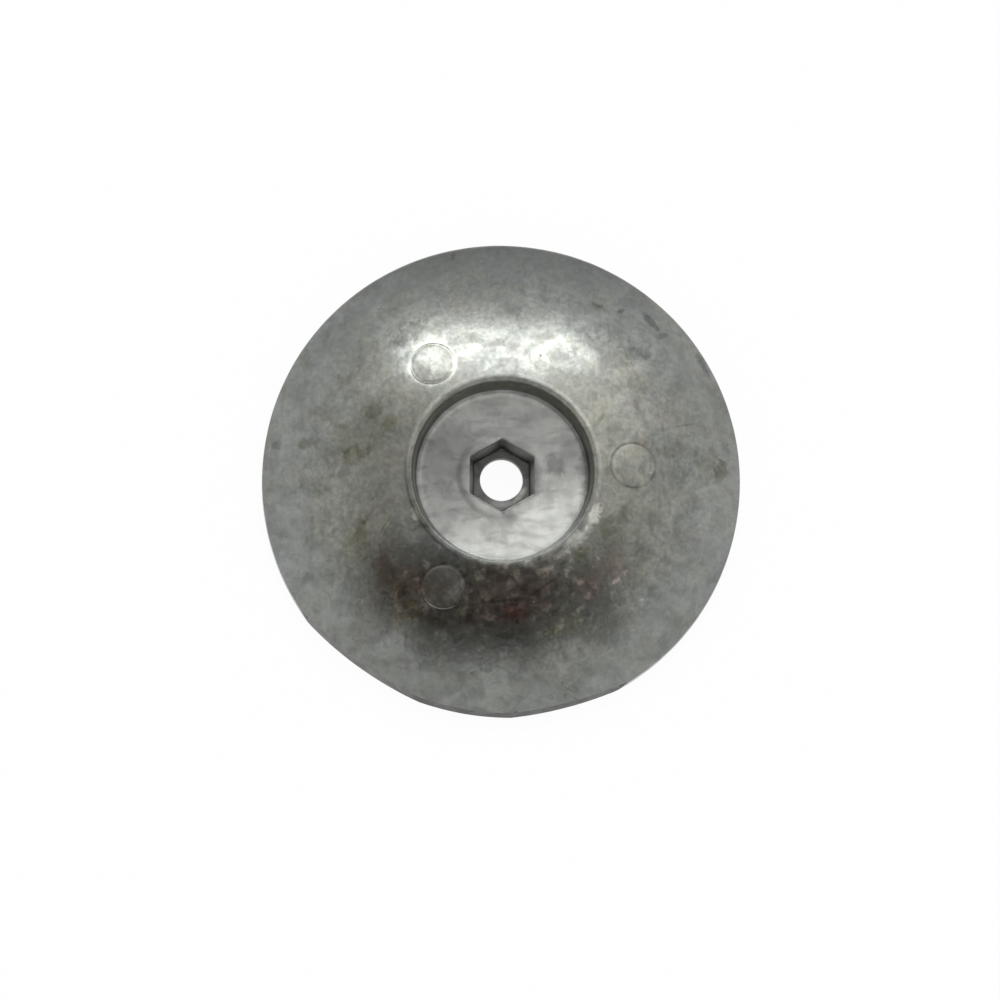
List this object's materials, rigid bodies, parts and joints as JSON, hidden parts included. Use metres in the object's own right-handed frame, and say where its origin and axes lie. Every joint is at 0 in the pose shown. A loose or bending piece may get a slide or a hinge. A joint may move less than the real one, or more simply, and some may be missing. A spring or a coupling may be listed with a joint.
{
  "type": "sacrificial anode",
  "caption": "Round domed zinc disc with a flat back, a stepped round bolt recess, a hexagonal nut seat and a central through bore, for bolting to a rudder or trim tab.",
  "frame": {"origin": "on the bore's axis at the flat back face; this is the bottom centre of the bounding box to within 0.2 mm, because the ground land takes 0.4 mm off the rim at its -Y end", "axes": "+Z along the bore, out of the domed face; +Y over a corner of the hexagonal seat; +X completes the frame, towards one ejector pad"},
  "size_m": [0.09, 0.0896, 0.0134],
  "materials": {
    "zinc": "die-cast zinc alloy, satin, with mottled grey oxide"
  },
  "bodies": {
    "root": {"anode_casting": "zinc"}
  },
  "joints": []
}
